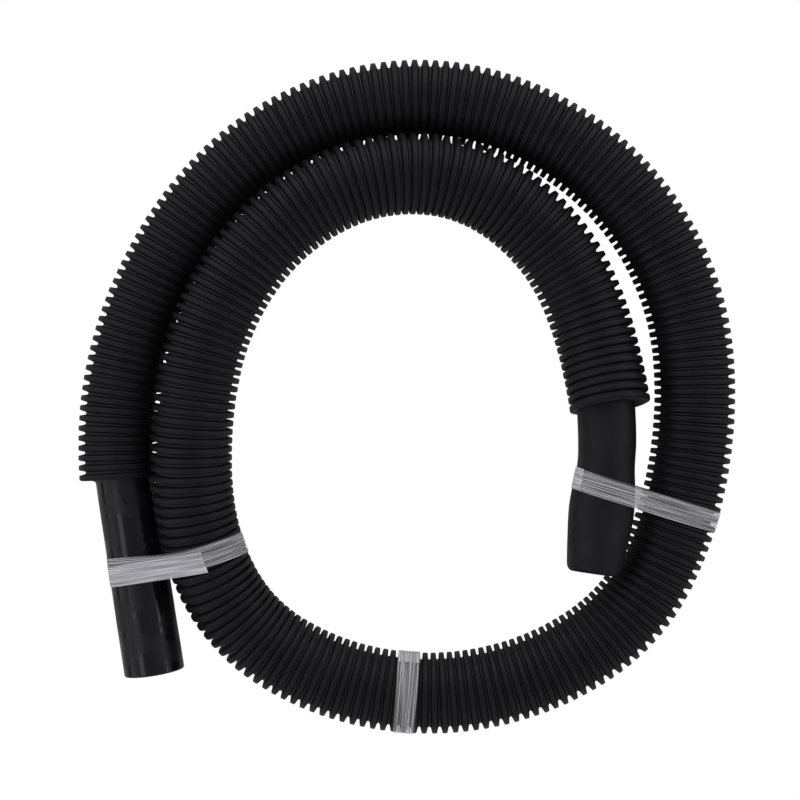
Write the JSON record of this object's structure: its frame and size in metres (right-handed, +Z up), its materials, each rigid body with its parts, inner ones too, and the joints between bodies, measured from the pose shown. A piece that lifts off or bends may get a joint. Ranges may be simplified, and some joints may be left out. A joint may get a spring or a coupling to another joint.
{
  "type": "pool vacuum hose",
  "caption": "Corrugated suction hose with smooth push-on cuffs at its ends, coiled flat and strapped with filament tape for storage.",
  "frame": {"origin": "under the middle of the coil, on the surface that it lies on", "axes": "+Z up, through the coil; the coil lies in XY, with both cuffs' open ends towards -Y, the glossy cuff on -X"},
  "size_m": [0.4165, 0.4267, 0.0752],
  "materials": {
    "hose_plastic": "satin blow-moulded polyethylene",
    "glossy_cuff": "smooth glossy soft vinyl",
    "matt_cuff": "smooth matt soft vinyl",
    "sealant": "cured sealant",
    "strapping_tape": "clear film over pale lengthwise filaments"
  },
  "bodies": {
    "root": {"corrugated_hose": "hose_plastic", "left_cuff": "glossy_cuff", "right_cuff": "matt_cuff", "left_seal_ring": "sealant", "right_seal_ring": "sealant", "bottom_tape": "strapping_tape", "left_tape": "strapping_tape", "right_tape": "strapping_tape"}
  },
  "joints": []
}
